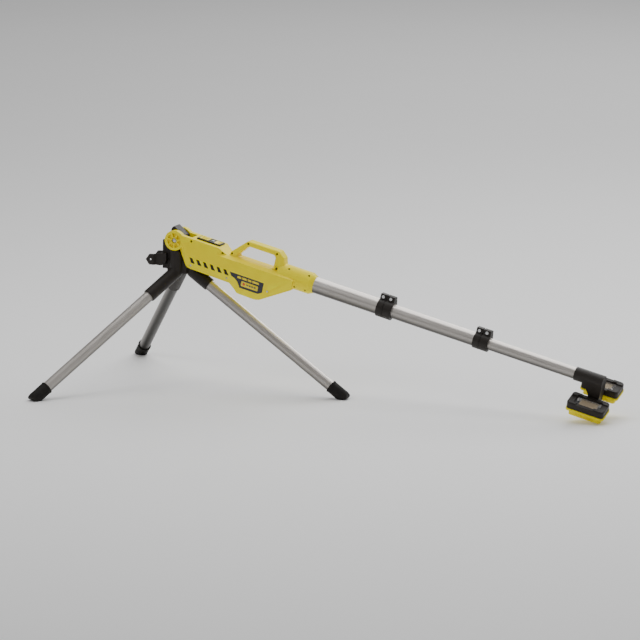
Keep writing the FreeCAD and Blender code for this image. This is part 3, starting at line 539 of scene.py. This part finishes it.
def block(mesh, place, low, high):
    """A box between two corners given in millimetres of a frame."""
    (x0, y0, z0), (x1, y1, z1) = low, high
    rings = []
    for z in (z0, z1):
        corners = ((x0, y0), (x1, y0), (x1, y1), (x0, y1))
        rings.append([place @ (Vector((x, y, z)) * MM) for x, y in corners])
    prism(mesh, *rings)


def outer_face(name, side):
    """A point and the normal of the largest face of a node that looks to its side."""
    mesh = NODES[name].data
    facing = [p for p in mesh.polygons if p.normal.y * side > 0.5]
    largest = max(facing, key=lambda p: p.area)
    return largest.center.copy(), largest.normal.copy()


def on_face(face, x, z, lift):
    """The point of a body face over mast X and Z, lifted off it by some millimetres."""
    centre, normal = face
    base = MAST @ Vector((x * MM, 0, z * MM))
    base.y = centre.y - (normal.x * (base.x - centre.x) + normal.z * (base.z - centre.z)) / normal.y
    return base + normal * (lift * MM)


def printed(name, side, outlines, material, heights):
    """Flat marks on the label of one side, between two heights off the film."""
    face = outer_face("label_" + side, SIDES[side])
    mesh = bmesh.new()
    for outline in outlines:
        prism(mesh, *([on_face(face, x, z, height) for x, z in outline] for height in heights))
    mesh_piece(name + "_" + side, mesh, material, "battery_body")


def disc(x, z, radius, count=20):
    """A circle as an outline."""
    turns = [2 * math.pi * i / count for i in range(count)]
    return [(x + radius * math.cos(t), z + radius * math.sin(t)) for t in turns]


def slanted_bar(start, end, middle, height, lean):
    """A parallelogram mark, leaning with the label's slanted end."""
    low, high = middle - height / 2, middle + height / 2
    return [(start, low), (end, low), (end - lean * 0.5, high), (start - lean * 0.5, high)]


def rounded_plate(x_ends, z_ends, radius, count=5):
    """A rectangle with round corners as an outline."""
    (x0, x1), (z0, z1) = x_ends, z_ends
    points = []
    for cx, cz, start in ((x1, z1, 0), (x0, z1, 90), (x0, z0, 180), (x1, z0, 270)):
        sx = cx - math.copysign(radius, cx - (x0 + x1) / 2)
        sz = cz - math.copysign(radius, cz - (z0 + z1) / 2)
        for i in range(count + 1):
            turn = math.radians(start + 90 * i / count)
            points.append((sx + radius * math.cos(turn), sz + radius * math.sin(turn)))
    return points


def label_marks(yellow, red, grey):
    """Generic marks: a row of slanted bars, a pale plate with a dot and short rules."""
    inset = BAR_GAP / 2
    bars = [
        slanted_bar(start + inset, end - inset, BAR_MIDDLE, BAR_HEIGHT, BAR_LEAN)
        for start, end in zip(BAR_ENDS, BAR_ENDS[1:])
    ]
    plate = rounded_plate(PLATE_X, PLATE_Z, PLATE_CORNER)
    dot = disc(DOT_X, MARK_Z, DOT_RADIUS)
    starts = [RULE_START + RULE_PITCH * i for i in range(RULE_COUNT)]
    rules = [slanted_bar(x, x + RULE_LENGTH, MARK_Z, RULE_HEIGHT, RULE_LEAN) for x in starts]
    for side in SIDES:
        printed("label_bars", side, bars, yellow, INK_HEIGHTS)
        printed("label_plate", side, [plate], yellow, INK_HEIGHTS)
        printed("label_dot", side, [dot], red, TOP_INK_HEIGHTS)
        printed("label_rules", side, rules, grey, TOP_INK_HEIGHTS)


def flank(side):
    """How far out the shell is between two cooling slots."""
    x, z = BETWEEN_SLOTS
    start = MAST @ Vector((x * MM, 0, z * MM))
    start.y = SIDES[side] * OUTSIDE_BODY
    inwards = Vector((0, -SIDES[side], 0))
    return NODES["body_shell_" + side].ray_cast(start, inwards)[1].y


def slot_plates():
    """The outlines of the louvres with their depths: for each slot a panel and its ribs."""
    start_x, start_z = SLOT_START
    for i in range(SLOT_COUNT):
        x = start_x + SLOT_PITCH * i
        yield [(x + dx, start_z + dz) for dx, dz in PANEL_OUTLINE], PANEL_DEPTHS
        for top in RIB_TOPS:
            left, right = x - top * SLOT_LEAN, x - top * SLOT_LEAN + SLOT_WIDTH
            high, low = start_z + top, start_z + top - RIB_THICKNESS
            yield [(left, high), (right, high), (right, low), (left, low)], RIB_DEPTHS


def slot_shade_louvres(material):
    """A ribbed black panel in each cooling slot, held in the slot's walls; its black stands in for the
    shade inside the slot.
    """
    for side, sign in SIDES.items():
        outside = flank(side)
        mesh = bmesh.new()
        for outline, depths in slot_plates():
            places = [MAST @ Vector((x * MM, 0, z * MM)) for x, z in outline]
            faces = [outside - sign * depth * MM for depth in depths]
            prism(mesh, *([Vector((p.x, y, p.z)) for p in places] for y in faces))
        mesh_piece("slot_shade_louvres_" + side, mesh, material, "battery_body")


def bead(name, points, radius, material, body):
    """A half-round moulding line in a loop through points of the scene."""
    curve = bpy.data.curves.new(name, "CURVE")
    curve.dimensions = "3D"
    curve.bevel_depth = radius * MM
    curve.bevel_resolution = 3
    line = curve.splines.new("POLY")
    line.points.add(len(points) - 1)
    for point, place in zip(line.points, points):
        point.co = (*place, 1)
    line.use_cyclic_u = True
    shape = bpy.data.objects.new(name + "_curve", curve)
    mesh = bmesh.new()
    mesh.from_mesh(bpy.data.meshes.new_from_object(shape))
    bpy.data.objects.remove(shape)
    mesh_piece(name, mesh, material, body)


def side_lines(material):
    """The long raised line on each side under the handle."""
    for side, sign in SIDES.items():
        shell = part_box("body_shell_" + side)
        flat = shell[0].y if sign < 0 else shell[1].y
        places = [MAST @ Vector((x * MM, 0, z * MM)) for x, z in SIDE_LINE]
        points = [(place.x, flat, place.z) for place in places]
        bead("side_line_" + side, points, SIDE_LINE_RADIUS, material, "battery_body")


def islands(name):
    """The separate solids of a node, as lists of points."""
    mesh = bmesh.new()
    mesh.from_mesh(NODES[name].data)
    bmesh.ops.remove_doubles(mesh, verts=mesh.verts, dist=JOIN_DISTANCE)
    seen = set()
    found = []
    for first in mesh.verts:
        if first in seen:
            continue
        stack, members = [first], []
        seen.add(first)
        while stack:
            vert = stack.pop()
            members.append(vert.co.copy())
            for edge in vert.link_edges:
                other = edge.other_vert(vert)
                if other not in seen:
                    seen.add(other)
                    stack.append(other)
        found.append(members)
    mesh.free()
    return found


def disc_frame(points, outwards):
    """Centre, outward normal and half thickness of a flat round head."""
    centre = sum(points, Vector()) / len(points)
    thinnest = None
    for a in points[:6]:
        for b in points[6:12]:
            normal = (a - centre).cross(b - centre)
            if normal.length < 1e-9:
                continue
            normal.normalize()
            half = max(abs((p - centre).dot(normal)) for p in points)
            if thinnest is None or half < thinnest[0]:
                thinnest = half, normal
    half, normal = thinnest
    if normal.dot(outwards(centre)) < 0:
        normal = -normal
    return centre, normal, half


def screw_heads(name, node, material, body, outwards):
    """Replaces the plain heads of a screw node by domed heads with a cross recess."""
    mesh = bmesh.new()
    for points in islands(node):
        centre, normal, half = disc_frame(points, outwards)
        radius = max((p - centre - normal * (p - centre).dot(normal)).length for p in points)
        place = Matrix.Translation(centre) @ normal.to_track_quat("Z", "Y").to_matrix().to_4x4()
        cross_head(mesh, place, radius, half)
    obj = mesh_piece(name, mesh, material, body)
    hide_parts(node)
    crisp(obj, 0.15)


def cross_head(mesh, place, radius, half):
    """One screw head: a lathed dome whose top is pushed in along a cross."""
    rings, around = 7, 32
    rim_drop = 0.55
    arm, half_width, recess = radius * 0.62, radius * 0.17, radius * 0.35
    profile = [(0.0, half)]
    for i in range(1, rings):
        share = i / (rings - 1)
        profile.append((radius * share, half * (1 - rim_drop * share ** 4)))
    profile += [(radius, -half), (0.0, -half)]
    loops = []
    for r, h in profile:
        loop = []
        for i in range(around if r else 1):
            turn = 2 * math.pi * i / around
            x, y = r * math.cos(turn), r * math.sin(turn)
            pressed = h > 0 and r <= arm and min(abs(x), abs(y)) < half_width
            loop.append(mesh.verts.new(place @ Vector((x, y, h - recess if pressed else h))))
        loops.append(loop)
    for a, b in zip(loops, loops[1:]):
        for i in range(around):
            j = (i + 1) % around
            corners = a[i % len(a)], a[j % len(a)], b[j % len(b)], b[i % len(b)]
            mesh.faces.new(list(dict.fromkeys(corners)))


def node_box(name, place):
    """The lowest and highest corner of a CAD node in a frame, in millimetres."""
    back = place.inverted()
    local = [back @ vertex.co for vertex in NODES[name].data.vertices]
    return [Vector([pick(p[i] for p in local) for i in range(3)]) / MM for pick in (min, max)]


def led_chips(material):
    """Rows of square LED chips under each lens."""
    half = CHIP_HALF_SIZE
    for side, place in LAMPS.items():
        top = node_box("lamp_%s_led_panel" % side, place)[1].z
        mesh = bmesh.new()
        for i in range(CHIP_COLUMNS):
            for j in range(CHIP_ROWS):
                x = (i - (CHIP_COLUMNS - 1) / 2) * CHIP_PITCH[0]
                y = (j - (CHIP_ROWS - 1) / 2) * CHIP_PITCH[1]
                block(mesh, place, (x - half, y - half, top - 0.1), (x + half, y + half, top + CHIP_HEIGHT))
        crisp(mesh_piece("led_chips_" + side, mesh, material, "lamp_" + side), 0.3)


def charge_lights(material):
    """Four small lights across the charge indicator."""
    count, side_margin, gap = 4, 2.5, 1.6
    sunk, proud = 0.3, 0.15
    low, high = node_box("charge_indicator", MAST)
    step = (high.y - low.y) / count
    mesh = bmesh.new()
    for i in range(count):
        y = low.y + step * i
        near = (low.x + side_margin, y + gap / 2, high.z - sunk)
        far = (high.x - side_margin, y + step - gap / 2, high.z + proud)
        block(mesh, MAST, near, far)
    crisp(mesh_piece("charge_lights", mesh, material, "battery_body"), 0.15)


# ---------------------------------------------------------------- stage
def floor_material():
    shader = Shader("pale_floor", 0.6)
    shader.feed("Base Color", shader.blend(shader.noise(400, 3), (0.93, 0.93, 0.93), (0.95, 0.95, 0.95)))
    return shader.material


def build_floor():
    mesh = bpy.data.meshes.new("floor")
    corners = ((-1, -1), (1, -1), (1, 1), (-1, 1))
    mesh.from_pydata([(FLOOR_REACH * x, FLOOR_REACH * y, 0) for x, y in corners], [], [(0, 1, 2, 3)])
    floor = bpy.data.objects.new("floor", mesh)
    floor.location.z = CAD_BOX[0].z - FLOOR_GAP
    mesh.materials.append(floor_material())
    bpy.context.scene.collection.objects.link(floor)


def soft_light(name, place, size, energy):
    """An area light that shines on the middle of the CAD model."""
    data = bpy.data.lights.new(name, "AREA")
    data.shape = "RECTANGLE"
    data.size, data.size_y = size
    data.energy = energy
    lamp = bpy.data.objects.new(name, data)
    lamp.location = place
    middle = (CAD_BOX[0] + CAD_BOX[1]) / 2
    lamp.rotation_mode = "QUATERNION"
    lamp.rotation_quaternion = (middle - Vector(place)).to_track_quat("-Z", "Y")
    bpy.context.scene.collection.objects.link(lamp)


def build_lights():
    for name, (place, size, energy) in LIGHTS.items():
        soft_light(name, place, size, energy)
    world = bpy.data.worlds.new("studio")
    world.use_nodes = True
    sky = world.node_tree.nodes["Background"]
    sky.inputs["Color"].default_value = (1, 1, 1, 1)
    sky.inputs["Strength"].default_value = WORLD_LIGHT
    bpy.context.scene.world = world


def build_camera():
    """The photograph's long-lens view from the near side, a little above."""
    azimuth, elevation = math.radians(CAMERA_AZIMUTH), math.radians(CAMERA_ELEVATION)
    aim = Vector(JOINTS["body_fold"]["pos_m"]) + AIM_FROM_HINGE
    back = Vector((
        math.sin(azimuth) * math.cos(elevation),
        -math.cos(azimuth) * math.cos(elevation),
        math.sin(elevation),
    ))
    data = bpy.data.cameras.new("camera")
    data.sensor_width = SENSOR_WIDTH_MM
    data.lens = SENSOR_WIDTH_MM * CAMERA_DISTANCE / VIEW_WIDTH
    data.clip_end = 200
    camera = bpy.data.objects.new("camera", data)
    camera.location = aim + back * CAMERA_DISTANCE
    camera.rotation_mode = "QUATERNION"
    level = (-back).to_track_quat("-Z", "Y").to_matrix()
    roll = Matrix.Rotation(math.radians(-CAMERA_ROLL), 3, "Z")
    camera.rotation_quaternion = (level @ roll).to_quaternion()
    bpy.context.scene.collection.objects.link(camera)
    bpy.context.scene.camera = camera


# ---------------------------------------------------------------- putting it together
def lamp_nodes(kind):
    return ["lamp_left_" + kind, "lamp_right_" + kind]


def dress_nodes():
    """A material for every CAD node."""
    yellow = yellow_plastic().material
    black = black_plastic().material
    grey = grey_plastic().material
    bright = steel("bright_steel", (0.52, 0.52, 0.53), (0.72, 0.72, 0.73), 0.3).material
    dark = steel("dark_steel", (0.025, 0.024, 0.024), (0.07, 0.068, 0.066), 0.4).material
    give(yellow, "body_shell_left", "body_shell_right", *lamp_nodes("housing"))
    give(button_plastic().material, "power_button", "brightness_button")
    give(black, "tripod_hub", "strap_bracket", "switch_bezel", "head_bracket", *lamp_nodes("bezel"))
    give(black, "lower_clamp", "upper_clamp", "lower_clamp_lever", "upper_clamp_lever")
    give(foot_rubber().material, "foot_left", "foot_front", "foot_right")
    # The far right leg's metal is darkened as painted shade.
    for side, light in LEG_SHADE_TONES.items():
        give(aluminium("leg_aluminium_" + side, leg_axis(side), light).material, "leg_tube_" + side)
    mast = aluminium("mast_aluminium", ALONG, 1.0).material
    give(mast, "mast_tube_lower", "mast_tube_middle", "mast_tube_upper")
    give(dark, "bracket_screws", "leg_screws", *lamp_nodes("screws"))
    give(bright, "hinge_bolt", "hinge_nut", "hinge_washers", "lower_clamp_screws", "upper_clamp_screws")
    give(bright, "lower_lever_pin", "upper_lever_pin", "lamp_axle")
    give(label_film().material, "label_left", "label_right")
    give(indicator_plastic().material, "charge_indicator")
    give(circuit_board().material, "switch_board", "driver_board")
    give(cell_wrap().material, "battery_cells")
    give(grey, "battery_tray", "guide_bush_middle", "guide_bush_upper", "swivel_ring", "hinge_bush")
    give(lens_glass().material, *lamp_nodes("lens"))
    give(reflector_metal().material, *lamp_nodes("reflector"))
    give(led_board().material, *lamp_nodes("led_panel"))
    give(cast_metal().material, *lamp_nodes("heat_sink"))
    return yellow, black, bright, dark


def round_nodes():
    """Edges as wide as each kind of piece has them."""
    rounded(["body_shell_left", "body_shell_right"], 0.9)
    rounded(lamp_nodes("housing") + lamp_nodes("bezel"), 1.2)
    rounded(["head_bracket"], 2.0)
    rounded(["lower_clamp", "upper_clamp", "lower_clamp_lever", "upper_clamp_lever"], 0.9)
    rounded(["strap_bracket"], 1.2)
    rounded(["power_button", "brightness_button", "switch_bezel", "charge_indicator"], 0.5)
    rounded(["lower_clamp_screws", "upper_clamp_screws", "hinge_bolt", "hinge_nut"], 1.2, 4)
    rounded(["mast_tube_lower", "mast_tube_middle", "mast_tube_upper"], 0.3, 2)
    rounded(["leg_tube_left", "leg_tube_front", "leg_tube_right"], 0.3, 2)
    rounded(lamp_nodes("lens") + lamp_nodes("reflector"), 0.3, 2)
    softened(["tripod_hub"], 1.2, 6)
    softened(["foot_left", "foot_front", "foot_right"], 0.9, 6)


def body_side(centre):
    """Away from the middle plane of the body."""
    return Vector((0, math.copysign(1, centre.y), 0))


def build_pieces(yellow, black, bright, dark):
    screw_heads("shell_screw_heads", "shell_screws", dark, "battery_body", body_side)
    screw_heads("trim_screw_heads", "trim_screws", bright, "battery_body", body_side)
    label_marks(
        ink("yellow_ink", (1.0, 0.78, 0.0)).material,
        ink("red_ink", (0.80, 0.07, 0.012)).material,
        ink("grey_ink", (0.10, 0.10, 0.11)).material,
    )
    # Black louvres whose colour stands in for the shade inside the slots.
    slot_shade_louvres(black)
    side_lines(yellow)
    led_chips(phosphor().material)
    charge_lights(ink("light_ink", (0.75, 0.78, 0.80)).material)


build_floor()
build_lights()
build_camera()
build_pieces(*dress_nodes())
round_nodes()
